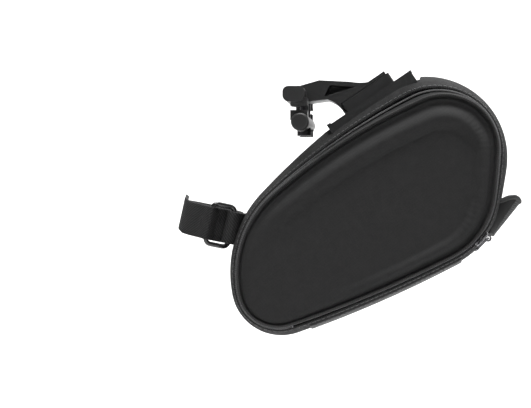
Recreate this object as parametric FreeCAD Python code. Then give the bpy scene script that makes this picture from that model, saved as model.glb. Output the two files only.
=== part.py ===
import FreeCAD, Part
import math
import os

# Saddle bag: a moulded clamshell case on a sliding base, hung from a clamp on
# the saddle rails and tied to the seat post by a webbing strap.
# Millimetres. +X points to the rear of the bicycle, +Z up, -Y to its left.
# The origin is midway between the two saddle rails, at the middle of the clamp.

# --- driving dimensions ------------------------------------------------------
HALF_WIDTH = 36.4            # side panel face, from the centre plane
PANEL_T = 3.0                # moulded side panel
BEAD_HEIGHT = 2.5            # raised bead on a side panel
BEAD_INSET = (8.0, 15.0)     # the bead's outer and inner edge, inside the seam
BEAD_ROUND = 1.8
PIPING_R = 1.2
POCKET_Y = (30.6, 31.8)      # pocket panel inside the fixed side
POCKET_TOP = -45.0
GUARD_PROUD = 0.9            # rubber-faced patch over the belly
GUARD_X = (7.0, 95.4)
GUARD_Y = (-24.0, 26.0)
WALL = 2.5                   # laminated gusset wall
CROWN_RADIUS = 76.5          # curve of the gusset across the bag
CROWN_HALF = 36.0            # half width over which the crown falls to the seam

# circles of the profile: centre x, centre z, radius, on the centre plane ...
MIDDLE = {"front": (27.3, -96.6, 69.1), "top": (74.4, -28.7, 48.4), "rear": (70.1, -47.6, 49.3), "nose": 30.0}
# ... and on the side seams
SEAM = {"front": (27.3, -96.6, 61.3), "top": (84.8, -24.3, 31.0), "rear": (70.5, -47.2, 43.3), "nose": 22.5}
NOSE_ANGLE = 191.7           # where the nose arc runs into the front arc, degrees
BACK_R = (440.0, 330.0)      # long arc between front and top, centre plane and seam
TAIL_R = (360.0, 300.0)      # long arc between top and rear
BELLY_R = (720.0, 720.0)     # long arc along the bottom

ZIP_Y = -31.0                # line where the two zip halves meet
ZIP_HALF = 2.4               # visible width of one zip half
ZIP_GAP = 0.15               # half the gap between the zip halves
ZIP_TOP = 0.5                # coil top, below the fabric surface
ZIP_BOTTOM = 2.3             # coil bottom
ZIP_END_ANGLE = -47.0        # end stop, on the rear arc
SLIDER_ANGLE = -38.5         # middle of the closed slider, on the rear arc

BASE_START = (17.4, -10.5)   # front end of the base plate's top face, x and z
BASE_SLOPE = 33.9            # degrees that the base climbs to the rear
BASE_LENGTH = 58.6
BASE_HALF = 21.0
PLATE_SINK = 1.5             # how far the plate is let into the gusset
LIP_LENGTH = 2.5
LIP_HEIGHT = 0.9
BOX_FRONT = 13.9             # raised channel box on the base, along the slope
BOX_REAR = 47.1
BOX_HEIGHT = 6.8
BOX_HALF = 14.0
CHANNEL_FLOOR = 1.5
CHANNEL_ROOF = 4.8
CHANNEL_HALF = 9.8
SLOT_HALF = 5.8
SLIDE_GAP = 0.3              # clearance all round the sliding tongue
FLANGE_T = 1.8               # bracket flange above the box

RAIL_R = 3.5                 # saddle rail
RAIL_Y = 22.0                # rail centre, from the centre plane
CLAMP_HALF = 30.0            # clamp bars, from the centre plane
BOLT_Y = 9.0
BOLT_X = 3.0
BOLT_R = 2.5

POST_R = 15.8                # seat post under the strap
POST_AT = (-53.2, 0.0, -67.0)
POST_LEAN = 12.5             # degrees
WEBBING_T = 1.6
WEBBING_W = 20.0

LOOP_AT = (112.6, -75.0)     # bottom of the light loop, on the gusset
LOOP_LEAN = 17.6             # degrees from upright
LOOP_WIDTH = 24.0
LOOP_T = 2.2

Y_AXIS = FreeCAD.Vector(0, 1, 0)


# --- the bag's profile -------------------------------------------------------
def polar(x, z, radius, angle, y):
    turn = math.radians(angle)
    return FreeCAD.Vector(x + radius * math.cos(turn), y, z + radius * math.sin(turn))


def bearing(centre, toward):
    return math.degrees(math.atan2(toward[1] - centre[1], toward[0] - centre[0]))


def long_arc(first, second, radius):
    """Centre of the long arc that runs over two circles, on the inner side of the outline."""
    a = radius - first[2]
    b = radius - second[2]
    dx = second[0] - first[0]
    dz = second[1] - first[1]
    span = math.hypot(dx, dz)
    along = (a * a - b * b + span * span) / (2 * span)
    aside = math.sqrt(a * a - along * along)
    return (first[0] + (dx * along + dz * aside) / span, first[1] + (dz * along - dx * aside) / span)


def crown(y):
    """0 on the centre plane, 1 at the side seams."""
    drop = CROWN_RADIUS - math.sqrt(CROWN_RADIUS ** 2 - y * y)
    full = CROWN_RADIUS - math.sqrt(CROWN_RADIUS ** 2 - CROWN_HALF ** 2)
    return drop / full


def mix(a, b, share):
    return a + (b - a) * share


def profile_arcs(share, inset):
    """The seven tangent arcs of the profile, clockwise from the bottom of the nose."""
    circle = {}
    for name in ("front", "top", "rear"):
        low, high = MIDDLE[name], SEAM[name]
        circle[name] = tuple(mix(low[i], high[i], share) for i in range(3))
    nose_r = mix(MIDDLE["nose"], SEAM["nose"], share)
    front = circle["front"]
    centre = polar(front[0], front[1], front[2] - nose_r, NOSE_ANGLE, 0)
    nose = (centre.x, centre.z, nose_r)
    back_r, tail_r, belly_r = (mix(pair[0], pair[1], share) for pair in (BACK_R, TAIL_R, BELLY_R))
    back = long_arc(front, circle["top"], back_r)
    tail = long_arc(circle["top"], circle["rear"], tail_r)
    belly = long_arc(circle["rear"], nose, belly_r)
    corners = [
        bearing(belly, nose),
        NOSE_ANGLE - 360,
        bearing(back, front) - 360,
        bearing(back, circle["top"]) - 360,
        bearing(tail, circle["top"]) - 360,
        bearing(tail, circle["rear"]) - 360,
        bearing(belly, circle["rear"]) - 360,
        bearing(belly, nose) - 360,
    ]
    owners = [nose, front, back + (back_r,), circle["top"]]
    owners += [tail + (tail_r,), circle["rear"], belly + (belly_r,)]
    return [(c[0], c[1], c[2] - inset, corners[i], corners[i + 1]) for i, c in enumerate(owners)]


def arc_edge(arc, y):
    x, z, radius, first, last = arc
    points = [polar(x, z, radius, angle, y) for angle in (first, (first + last) / 2, last)]
    return Part.Arc(points[0], points[1], points[2]).toShape()


def outline(y, inset=0.0):
    return Part.Wire([arc_edge(arc, y) for arc in profile_arcs(crown(y), inset)])


def case(y_low, y_high, inset=0.0, steps=4):
    """Solid inside the crowned gusset surface, between two widths."""
    rows = [mix(y_low, y_high, i / steps) for i in range(steps + 1)]
    return Part.makeLoft([outline(y, inset) for y in rows], True, False)


def slab(y_low, y_high, inset):
    """Straight plate with the seam's outline."""
    face = Part.Face(outline(CROWN_HALF, inset))
    face.translate(FreeCAD.Vector(0, y_low - CROWN_HALF, 0))
    return face.extrude(FreeCAD.Vector(0, y_high - y_low, 0))


def box(x0, x1, y0, y1, z0, z1):
    return Part.makeBox(x1 - x0, y1 - y0, z1 - z0, FreeCAD.Vector(x0, y0, z0))


def band(arcs, y_low, y_high, inset_low, inset_high):
    """Rectangular band that follows some of the profile's arcs."""
    pieces = []
    for x, z, radius, first, last in arcs:
        section = box(radius - inset_high, radius - inset_low, y_low, y_high, -0.5, 0.5)
        face = max(section.Faces, key=lambda f: f.CenterOfMass.z)
        face.translate(FreeCAD.Vector(0, 0, -0.5))
        face.rotate(FreeCAD.Vector(0, 0, 0), Y_AXIS, -first)
        face.translate(FreeCAD.Vector(x, 0, z))
        pieces.append(face.revolve(FreeCAD.Vector(x, 0, z), Y_AXIS, first - last))
    return joined(pieces)


def joined(pieces):
    if len(pieces) == 1:
        return pieces[0]
    return pieces[0].multiFuse(pieces[1:]).removeSplitter()


def piping(y):
    """Round cord sewn in at the edge of a side panel."""
    pieces = []
    for x, z, radius, first, last in profile_arcs(1.0, 0.0):
        ring = Part.Circle(FreeCAD.Vector(radius, y, 0), FreeCAD.Vector(0, 0, 1), PIPING_R)
        face = Part.Face(Part.Wire(ring.toShape()))
        face.rotate(FreeCAD.Vector(0, 0, 0), Y_AXIS, -first)
        face.translate(FreeCAD.Vector(x, 0, z))
        pieces.append(face.revolve(FreeCAD.Vector(x, 0, z), Y_AXIS, first - last))
    return joined(pieces)


def save(name, shape):
    for solid in shape.Solids:
        if not solid.isValid():
            print("not valid:", name)
    print(f"{name:20s} solids {len(shape.Solids)}  volume {shape.Volume:9.1f}")
    shape.exportStep(f"parts/{name}.step")


# --- the base's own axes -----------------------------------------------------
def on_base(shape):
    """From (along the slope, across, above the plate) to the row's frame."""
    placed = shape.copy()
    placed.rotate(FreeCAD.Vector(0, 0, 0), Y_AXIS, -BASE_SLOPE)
    placed.translate(FreeCAD.Vector(BASE_START[0], 0, BASE_START[1]))
    return placed


def base_box(s0, s1, half, h0, h1):
    return box(s0, s1, -half, half, h0, h1)


# --- the seat post's own axes: x towards the bag, z up along the post ---------
def on_post(shape):
    placed = shape.copy()
    placed.rotate(FreeCAD.Vector(0, 0, 0), Y_AXIS, POST_LEAN)
    placed.translate(FreeCAD.Vector(*POST_AT))
    return placed


os.makedirs("parts", exist_ok=True)

# --- moulded base, latch and the plate behind the gusset ---------------------
REAR_BLOCK = (38.0, 58.0, 14.0, -7.7, 0.0)
POCKET_FLOOR = -6.0          # floor of the latch's pocket in the rear block
POCKET_START = 48.2
POCKET_HALF = 11.4
LATCH_HALF = 11.0
FINGER_HALF = 3.8
PIN_AT = (50.0, -2.4)        # latch pin, along the slope and above the plate
PIN_R = 1.0
PIN_LENGTH = 26.0
PIN_GAP = 0.03
SCREW_PLACES = [(8.0, -15.5), (8.0, 15.5), (42.0, -17.6), (42.0, 17.6)]
SCREW_HEAD = (2.6, 1.3)      # radius and height, sunk flush with the plate
SCREW_SHANK = (1.5, 9.0)
SOCKET = (1.1, 0.9)


def base_pin(s, y, radius, h0, h1):
    """Upright cylinder on the base."""
    return Part.makeCylinder(radius, h1 - h0, FreeCAD.Vector(s, y, h0))


def cross_pin(radius, length):
    """Cylinder on the latch's axis."""
    return Part.makeCylinder(radius, length, FreeCAD.Vector(PIN_AT[0], -length / 2, PIN_AT[1]), Y_AXIS)


plate = on_base(base_box(0, BASE_LENGTH - 0.6, BASE_HALF, -8, 0)).cut(case(-34, 34, PLATE_SINK))
plate = max(plate.Solids, key=lambda solid: solid.Volume)
rear_block = on_base(base_box(*REAR_BLOCK))
channel_box = on_base(base_box(BOX_FRONT, BOX_REAR, BOX_HALF, -1, BOX_HEIGHT))
corner = [edge for edge in channel_box.Edges if edge.Length < BOX_HEIGHT + 2]
channel_box = channel_box.makeFillet(1.2, corner)
front_lip = on_base(base_box(0, LIP_LENGTH, BASE_HALF, -1, LIP_HEIGHT))
mount_base = joined([plate, rear_block, channel_box, front_lip])
channel = base_box(BOX_FRONT - 1, BOX_REAR - 2, CHANNEL_HALF, CHANNEL_FLOOR, CHANNEL_ROOF)
slot = base_box(BOX_FRONT - 1, BOX_REAR - 2, SLOT_HALF, CHANNEL_ROOF - 1, BOX_HEIGHT + 1)
latch_pocket = base_box(POCKET_START, 60.0, POCKET_HALF, POCKET_FLOOR, 1)
finger_pocket = base_box(39.8, 49.0, FINGER_HALF + 0.4, POCKET_FLOOR, CHANNEL_FLOOR + 1)
for hollow in (channel, slot, latch_pocket, finger_pocket, cross_pin(PIN_R, PIN_LENGTH)):
    mount_base = mount_base.cut(on_base(hollow))
screws = []
for s, y in SCREW_PLACES:
    head = base_pin(s, y, SCREW_HEAD[0], -SCREW_HEAD[1], 0)
    shank = base_pin(s, y, SCREW_SHANK[0], -SCREW_SHANK[1], 0)
    socket = base_pin(s, y, SOCKET[0], -SOCKET[1], 1)
    screws.append(on_base(joined([head, shank]).cut(socket)))
shanks = Part.makeCompound([on_base(base_pin(s, y, SCREW_SHANK[0], -10, 0)) for s, y in SCREW_PLACES])
head_sinks = [on_base(base_pin(s, y, SCREW_HEAD[0], -SCREW_HEAD[1], 1)) for s, y in SCREW_PLACES]
mount_base = mount_base.cut(shanks).cut(Part.makeCompound(head_sinks))
footprint = on_base(base_box(3.0, 47.0, 20.0, -16, 8))
backing_plate = case(-34, 34, WALL).cut(case(-33, 33, WALL + 2.0)).common(footprint)
backing_plate = backing_plate.cut(rear_block).cut(shanks)
backing_plate = max(backing_plate.Solids, key=lambda solid: solid.Volume)

latch = joined([
    base_box(48.7, 58.2, LATCH_HALF, -4.2, 0),
    base_box(57.2, 58.8, LATCH_HALF, -1.0, 0.8),
    base_box(41.0, 50.0, FINGER_HALF, -3.8, -1.2),
    base_box(41.0, 43.0, FINGER_HALF - 0.2, -3.8, CHANNEL_FLOOR),
])
latch = latch.cut(cross_pin(PIN_R + PIN_GAP, PIN_LENGTH + 4))
save("mount_base", mount_base)
save("backing_plate", backing_plate)
save("base_screws", Part.makeCompound(screws))
save("release_latch", on_base(latch))
save("latch_pin", on_base(cross_pin(PIN_R, PIN_LENGTH)))

# --- gusset, zip halves, hinge strip and bottom guard ------------------------
GUSSET_LOW = ZIP_Y + ZIP_HALF
GUSSET_HIGH = HALF_WIDTH - PANEL_T
gusset = case(GUSSET_LOW, GUSSET_HIGH, 0.0, 6).cut(case(GUSSET_LOW - 1, GUSSET_HIGH + 1, WALL, 6))
over_latch = on_base(base_box(POCKET_START, BASE_LENGTH + 1.4, POCKET_HALF, POCKET_FLOOR, 4))
over_plate = on_base(base_box(0, BASE_LENGTH - 0.6, BASE_HALF, -SCREW_HEAD[1], 4))
post_and_strap = Part.makeCylinder(POST_R + WEBBING_T, WEBBING_W, FreeCAD.Vector(0, 0, -WEBBING_W / 2))
for tool in (mount_base, rear_block, shanks, over_latch, over_plate, on_post(post_and_strap)):
    gusset = gusset.cut(tool)
gusset = max(gusset.Solids, key=lambda solid: solid.Volume)
save("gusset_band", gusset)

zip_arcs = profile_arcs(crown(ZIP_Y), 0.0)
zip_path = zip_arcs[:5] + [zip_arcs[5][:4] + (ZIP_END_ANGLE - 360,)]
belly = zip_arcs[6]
STOP_SPAN = 0.28             # degrees of the belly arc that the front stop takes
hinge_path = [belly[:4] + (belly[4] + STOP_SPAN,)]
body_chain = band(zip_path, ZIP_Y + ZIP_GAP, ZIP_Y + ZIP_HALF, ZIP_TOP, ZIP_BOTTOM)
lid_chain = band(zip_path, ZIP_Y - ZIP_HALF, ZIP_Y - ZIP_GAP, ZIP_TOP, ZIP_BOTTOM)
save("body_zip_chain", body_chain)
save("lid_zip_chain", lid_chain)
save("hinge_strip", band(hinge_path, ZIP_Y + ZIP_GAP, ZIP_Y + ZIP_HALF, ZIP_TOP, ZIP_BOTTOM))
stop_arcs = [
    zip_arcs[5][:3] + (ZIP_END_ANGLE - 0.1, ZIP_END_ANGLE - 3.0),
    belly[:3] + (belly[4] + STOP_SPAN - 0.02, belly[4] + 0.02),
]
stops = [band([arc], ZIP_Y + ZIP_GAP, ZIP_Y + ZIP_HALF, ZIP_TOP - 0.7, ZIP_BOTTOM) for arc in stop_arcs]
save("zip_end_stops", Part.makeCompound(stops))
guard = case(GUARD_Y[0], GUARD_Y[1], -GUARD_PROUD).cut(case(GUARD_Y[0] - 1, GUARD_Y[1] + 1))
guard = guard.common(box(GUARD_X[0], GUARD_X[1], -30, 30, -140, -80))
guard = max(guard.Solids, key=lambda solid: solid.Volume)
save("bottom_guard", guard)


# --- side panels and piping --------------------------------------------------
def side_panel(side):
    inner = HALF_WIDTH - PANEL_T
    y0, y1 = sorted((side * inner, side * HALF_WIDTH))
    b0, b1 = sorted((side * (HALF_WIDTH - 0.5), side * (HALF_WIDTH + BEAD_HEIGHT)))
    bead = slab(b0, b1, BEAD_INSET[0]).cut(slab(b0 - 1, b1 + 1, BEAD_INSET[1]))
    soft = [edge for edge in bead.Edges if abs(edge.BoundBox.YMin - side * (HALF_WIDTH + BEAD_HEIGHT)) < 0.01]
    bead = bead.makeFillet(BEAD_ROUND, soft)
    return joined([slab(y0, y1, 0.0), bead])


for name, cord, side in (("left_side_panel", "lid_piping", -1), ("right_side_panel", "right_piping", 1)):
    edge_cord = piping(side * HALF_WIDTH)
    save(cord, edge_cord)
    save(name, side_panel(side).cut(edge_cord))

pocket = slab(POCKET_Y[0], POCKET_Y[1], WALL + 1.5).common(box(-60, 140, 20, 40, -140, POCKET_TOP))
save("inner_pocket", pocket)

# --- zip slider and its pull -------------------------------------------------
rear_x, rear_z, rear_r = zip_arcs[5][:3]


def on_zip(shape, angle):
    """From (outward, across, along the zip) to the row's frame."""
    placed = shape.copy()
    placed.rotate(FreeCAD.Vector(0, 0, 0), Y_AXIS, -angle)
    placed.translate(FreeCAD.Vector(rear_x, 0, rear_z))
    return placed


SLIDER_SPAN = 6.0
HINGE_OUT = 3.9
PLATE_LOW = 1.3              # slider plate above the coil line, so that it clears the gusset
slider_plate = band([(rear_x, rear_z, rear_r, SLIDER_ANGLE + SLIDER_SPAN, SLIDER_ANGLE - SLIDER_SPAN)],
                    ZIP_Y - 3.6, ZIP_Y + 3.6, -PLATE_LOW - 1.2, -PLATE_LOW)
ears = [edge for edge in slider_plate.Edges if 1.0 < edge.Length < 1.6]
slider_plate = slider_plate.makeFillet(1.4, ears)
bail = Part.makeCylinder(2.1, 1.8, FreeCAD.Vector(rear_r + HINGE_OUT, ZIP_Y - 0.9, 0), Y_AXIS)
bail_foot = box(rear_r + PLATE_LOW + 0.9, rear_r + HINGE_OUT, ZIP_Y - 0.9, ZIP_Y + 0.9, -2.1, 2.1)
bail_hole = Part.makeCylinder(1.0, 4, FreeCAD.Vector(rear_r + HINGE_OUT, ZIP_Y - 2, 0), Y_AXIS)
bail_ring = joined([bail, bail_foot]).cut(bail_hole)
guide = band([(rear_x, rear_z, rear_r, SLIDER_ANGLE + SLIDER_SPAN, SLIDER_ANGLE - SLIDER_SPAN)],
             ZIP_Y - 1.4, ZIP_Y + 1.4, -PLATE_LOW - 0.2, -0.1)
slider = joined([slider_plate, guide, on_zip(bail_ring, SLIDER_ANGLE + 3.0)])
save("zip_slider", slider)

PULL_LENGTH = 10.5
crossbar = Part.makeCylinder(0.65, 5.6, FreeCAD.Vector(0, ZIP_Y - 2.8, 0), Y_AXIS)
arms = [box(-0.5, 0.5, y, y + 1.4, -3.4, 0) for y in (ZIP_Y - 2.8, ZIP_Y + 1.4)]
tab = box(-0.5, 0.5, ZIP_Y - 2.8, ZIP_Y + 2.8, -PULL_LENGTH, -2.9)
ends = [edge for edge in tab.Edges if edge.Length < 1.1 and edge.CenterOfMass.z < -5]
tab = tab.makeFillet(1.6, ends)
pull = joined([crossbar, tab] + arms)
PULL_SWING = -44.0
pull.rotate(FreeCAD.Vector(0, 0, 0), Y_AXIS, -PULL_SWING)
pull_at = on_zip(Part.Vertex(rear_r + HINGE_OUT, 0, 0), SLIDER_ANGLE + 3.0).Point
pull.translate(pull_at)
save("zip_pull", pull)

# --- loop for a rear light ---------------------------------------------------
LOOP_HALF = 19.0


def bulge(height, half, rise, lift):
    """Closed bow across the bag: a foot line and an arc that stands off by rise."""
    feet = [FreeCAD.Vector(lift, -half, height), FreeCAD.Vector(lift, half, height)]
    arc = Part.Arc(feet[0], FreeCAD.Vector(rise, 0, height), feet[1]).toShape()
    back = FreeCAD.Vector(lift - 6, -half, height), FreeCAD.Vector(lift - 6, half, height)
    turns = [feet[1], back[1], back[0], feet[0]]
    lines = [Part.makeLine(a, b) for a, b in zip(turns, turns[1:])]
    return Part.Wire([arc] + lines)


def loop_solid(shrink, spare):
    half = LOOP_HALF - shrink
    low = bulge(0.6 - spare, half, 2.6 - shrink * 0.9, -2.6)
    high = bulge(0.6 + LOOP_WIDTH + spare, half, 12.0 - shrink, -2.6)
    return Part.makeLoft([low, high], True, True)


light_loop = loop_solid(0, 0).cut(loop_solid(LOOP_T, 2))
light_loop.rotate(FreeCAD.Vector(0, 0, 0), Y_AXIS, LOOP_LEAN)
light_loop.translate(FreeCAD.Vector(LOOP_AT[0], 0, LOOP_AT[1]))
light_loop = light_loop.cut(case(-34, 34, 0.0))
light_loop = max(light_loop.Solids, key=lambda solid: solid.Volume)
save("light_loop", light_loop)


# --- seat post strap ---------------------------------------------------------
def webbing_arc(radius, first, last):
    """A length of webbing round the post between two angles; 0 faces the bag, -90 is the left."""
    section = box(radius, radius + WEBBING_T, -0.5, 0.5, -WEBBING_W / 2, WEBBING_W / 2)
    face = max(section.Faces, key=lambda f: f.CenterOfMass.y)
    face.translate(FreeCAD.Vector(0, -0.5, 0))
    face.rotate(FreeCAD.Vector(0, 0, 0), FreeCAD.Vector(0, 0, 1), first)
    return face.revolve(FreeCAD.Vector(0, 0, 0), FreeCAD.Vector(0, 0, 1), last - first)


RING_TURN = -68.0
RING_WIDTH = 17.0
RING_HEIGHT = 26.0
RING_ROD = 2.4
strap = post_and_strap.cut(Part.makeCylinder(POST_R, WEBBING_W + 2, FreeCAD.Vector(0, 0, -WEBBING_W / 2 - 1)))
ring = box(18.0, 18.0 + RING_ROD, -RING_WIDTH / 2, RING_WIDTH / 2, -RING_HEIGHT / 2, RING_HEIGHT / 2)
ring_slot = box(16.0, 22.0, -RING_WIDTH / 2 + RING_ROD, RING_WIDTH / 2 - RING_ROD,
                -RING_HEIGHT / 2 + RING_ROD, RING_HEIGHT / 2 - RING_ROD)
ring = ring.cut(ring_slot)
ring = ring.makeFillet(1.0, ring.Edges)
ring.rotate(FreeCAD.Vector(0, 0, 0), FreeCAD.Vector(0, 0, 1), RING_TURN)
tail = webbing_arc(POST_R + WEBBING_T + 0.4, -190, -98)
tail_end = box(-19.4, -17.8, 3.2, 7.0, -WEBBING_W / 2, WEBBING_W / 2)
tail_end.rotate(FreeCAD.Vector(-17.8, 3.2, 0), FreeCAD.Vector(0, 0, 1), 14)
save("seatpost_strap", on_post(strap))
save("strap_ring", on_post(ring))
save("strap_tail", on_post(joined([tail, tail_end])))
bag_outside = case(-34, 34, 0.0)
anchor = on_post(box(17.4, 24.0, -13.2, 15.0, -WEBBING_W / 2, WEBBING_W / 2)).cut(bag_outside)
keeper = on_post(box(15.3, 24.0, -16.4, -13.3, -WEBBING_W / 2, WEBBING_W / 2)).cut(bag_outside)
save("strap_anchor", min(anchor.Solids, key=lambda solid: solid.CenterOfMass.x))
save("ring_keeper", min(keeper.Solids, key=lambda solid: solid.CenterOfMass.x))

# --- clamp on the saddle rails ----------------------------------------------
BAR_X = (-8.3, 4.7)
BAR_Z = (3.7, 12.7)          # its underside stays clear of the rails
BAR_ROUND = 3.4
LOWER_AT = (1.8, -8.1)
LOWER_R = 5.3
PAD_X = (-4.0, 6.0)
PAD_HALF = 4.8
PAD_GAP = 1.2


def pads(z_from, z_to):
    made = []
    for y in (-RAIL_Y, RAIL_Y):
        made.append(box(PAD_X[0], PAD_X[1], y - PAD_HALF, y + PAD_HALF, min(z_from, z_to), max(z_from, z_to)))
    return made


X_AXIS = FreeCAD.Vector(1, 0, 0)
rails = [Part.makeCylinder(RAIL_R, 60, FreeCAD.Vector(-30, y, 0), X_AXIS) for y in (-RAIL_Y, RAIL_Y)]
upper_bar = box(BAR_X[0], BAR_X[1], -CLAMP_HALF, CLAMP_HALF, BAR_Z[0], BAR_Z[1])
long_edges = [edge for edge in upper_bar.Edges if edge.Length > 2 * CLAMP_HALF - 1]
upper_bar = upper_bar.makeFillet(BAR_ROUND, long_edges)


def slope_point(s, h):
    turn = math.radians(BASE_SLOPE)
    x = BASE_START[0] + s * math.cos(turn) - h * math.sin(turn)
    z = BASE_START[1] + s * math.sin(turn) + h * math.cos(turn)
    return FreeCAD.Vector(x, 0, z)


WEB_HALF = 12.5
FLANGE_LOW = BOX_HEIGHT + SLIDE_GAP
FLANGE_TOP = FLANGE_LOW + FLANGE_T
flange_end = slope_point(45.5, FLANGE_TOP)
FOOT_LIFT = CHANNEL_FLOOR + SLIDE_GAP    # level with the tongue, so it passes over the base's front lip
foot = slope_point(BOX_FRONT - 1.5, FOOT_LIFT)
corners = [
    FreeCAD.Vector(-4.0, 0, 12.7), FreeCAD.Vector(12.0, 0, 17.2), FreeCAD.Vector(30.0, 0, 16.2),
    slope_point(34.0, FLANGE_TOP), flange_end, slope_point(45.5, FLANGE_LOW),
    slope_point(BOX_FRONT - SLIDE_GAP, FLANGE_LOW), slope_point(BOX_FRONT - SLIDE_GAP, FOOT_LIFT), foot,
    FreeCAD.Vector(16.8, 0, 5.9), FreeCAD.Vector(5.0, 0, 4.4), FreeCAD.Vector(-4.0, 0, 4.4),
]
web_edges = []
for index, start in enumerate(corners):
    end = corners[(index + 1) % len(corners)]
    if index == 2:
        web_edges.append(Part.Arc(start, FreeCAD.Vector(36.4, 0, 15.6), end).toShape())
    elif index == 8:
        web_edges.append(Part.Arc(start, FreeCAD.Vector(22.5, 0, 2.9), end).toShape())
    else:
        web_edges.append(Part.makeLine(start, end))
web = Part.Face(Part.Wire(web_edges)).extrude(FreeCAD.Vector(0, 2 * WEB_HALF, 0))
web.translate(FreeCAD.Vector(0, -WEB_HALF, 0))
recess_corners = [FreeCAD.Vector(15.0, 0, 7.4), FreeCAD.Vector(18.4, 0, 14.2), FreeCAD.Vector(33.2, 0, 13.0)]
recess_face = Part.Face(Part.makePolygon(recess_corners + [recess_corners[0]]))
for y0 in (-WEB_HALF - 1, 4.0):
    recess = recess_face.extrude(FreeCAD.Vector(0, WEB_HALF - 3.0, 0))
    recess.translate(FreeCAD.Vector(0, y0, 0))
    web = web.cut(recess)
TONGUE_FRONT = BOX_FRONT - SLIDE_GAP
TONGUE_END = 44.8
tongue = on_base(joined([
    base_box(TONGUE_FRONT, TONGUE_END, SLOT_HALF - SLIDE_GAP, FOOT_LIFT, FLANGE_LOW + 0.5),
    base_box(TONGUE_FRONT, TONGUE_END, CHANNEL_HALF - SLIDE_GAP, FOOT_LIFT, CHANNEL_ROOF - SLIDE_GAP),
]))
bridge = joined([upper_bar, web, tongue] + pads(PAD_GAP, 6.0))
for rail in rails:
    bridge = bridge.cut(rail)
bolt_holes = [Part.makeCylinder(BOLT_R + 0.3, 9.5, FreeCAD.Vector(BOLT_X, y, 2.0)) for y in (-BOLT_Y, BOLT_Y)]
nut_pockets = [Part.makeCylinder(3.6, 5.0, FreeCAD.Vector(BOLT_X, y, 6.0)) for y in (-BOLT_Y, BOLT_Y)]
for tool in bolt_holes + nut_pockets:
    bridge = bridge.cut(tool)
save("bracket_bridge", bridge)

nuts = []
for y in (-BOLT_Y, BOLT_Y):
    nut = Part.makeCylinder(3.6, 5.0, FreeCAD.Vector(BOLT_X, y, 6.0))
    nuts.append(nut.cut(Part.makeCylinder(BOLT_R + 0.06, 6.0, FreeCAD.Vector(BOLT_X, y, 5.5))))
save("nut_inserts", Part.makeCompound(nuts))

lower_end = FreeCAD.Vector(LOWER_AT[0], -CLAMP_HALF, LOWER_AT[1])
lower_bar = Part.makeCylinder(LOWER_R, 2 * CLAMP_HALF, lower_end, Y_AXIS)
rims = [edge for edge in lower_bar.Edges if abs(abs(edge.CenterOfMass.y) - CLAMP_HALF) < 0.1]
lower_bar = lower_bar.makeFillet(1.6, rims)
lower_bar = joined([lower_bar] + pads(-PAD_GAP, -7.0))
for rail in rails:
    lower_bar = lower_bar.cut(rail)
bolts = []
for y in (-BOLT_Y, BOLT_Y):
    lower_bar = lower_bar.cut(Part.makeCylinder(BOLT_R + 0.3, 20, FreeCAD.Vector(BOLT_X, y, -16)))
    lower_bar = lower_bar.cut(Part.makeCylinder(4.5, 8, FreeCAD.Vector(BOLT_X, y, -19.0)))
    head = Part.makeCylinder(4.2, 4.6, FreeCAD.Vector(BOLT_X, y, -15.6))
    shank = Part.makeCylinder(BOLT_R, 21.5, FreeCAD.Vector(BOLT_X, y, -11.5))
    socket = Part.makeCylinder(2.2, 2.5, FreeCAD.Vector(BOLT_X, y, -15.6))
    bolts.append(joined([head, shank]).cut(socket))
save("clamp_bar", lower_bar)
save("clamp_bolts", Part.makeCompound(bolts))
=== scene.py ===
import math

import bmesh
import bpy
import numpy as np
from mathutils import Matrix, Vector


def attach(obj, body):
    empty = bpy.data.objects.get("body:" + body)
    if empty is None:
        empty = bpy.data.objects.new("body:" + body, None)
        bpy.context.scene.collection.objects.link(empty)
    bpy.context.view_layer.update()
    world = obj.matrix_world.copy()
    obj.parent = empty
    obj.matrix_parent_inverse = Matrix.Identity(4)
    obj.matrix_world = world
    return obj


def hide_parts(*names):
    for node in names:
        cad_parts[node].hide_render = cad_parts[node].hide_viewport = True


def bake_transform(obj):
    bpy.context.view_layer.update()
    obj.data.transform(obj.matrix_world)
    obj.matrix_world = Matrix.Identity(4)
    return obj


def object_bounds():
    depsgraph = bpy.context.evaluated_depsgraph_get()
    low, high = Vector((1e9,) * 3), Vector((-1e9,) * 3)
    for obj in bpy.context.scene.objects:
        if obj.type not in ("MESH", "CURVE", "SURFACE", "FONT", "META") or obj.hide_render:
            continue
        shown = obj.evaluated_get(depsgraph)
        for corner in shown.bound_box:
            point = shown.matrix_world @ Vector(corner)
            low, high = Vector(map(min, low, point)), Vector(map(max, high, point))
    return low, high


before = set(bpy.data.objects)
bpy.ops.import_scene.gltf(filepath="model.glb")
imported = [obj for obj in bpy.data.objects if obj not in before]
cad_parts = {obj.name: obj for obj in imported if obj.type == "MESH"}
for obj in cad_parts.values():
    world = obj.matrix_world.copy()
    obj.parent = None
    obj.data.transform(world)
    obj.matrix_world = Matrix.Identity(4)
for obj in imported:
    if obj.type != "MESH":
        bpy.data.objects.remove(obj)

cad_low, cad_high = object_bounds()

# ---- Camera ----------------------------------------------------------------------
# A long lens, level with the middle of the bag, on its left side and turned a
# little towards its tail.
VIEW_DISTANCE = 0.95
VIEW_TURN = math.radians(5.5)
VIEW_CENTRE = Vector((-0.0210, 0.0, -0.0560))
VIEW_WIDTH = 0.319
SENSOR = 36.0

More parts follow.
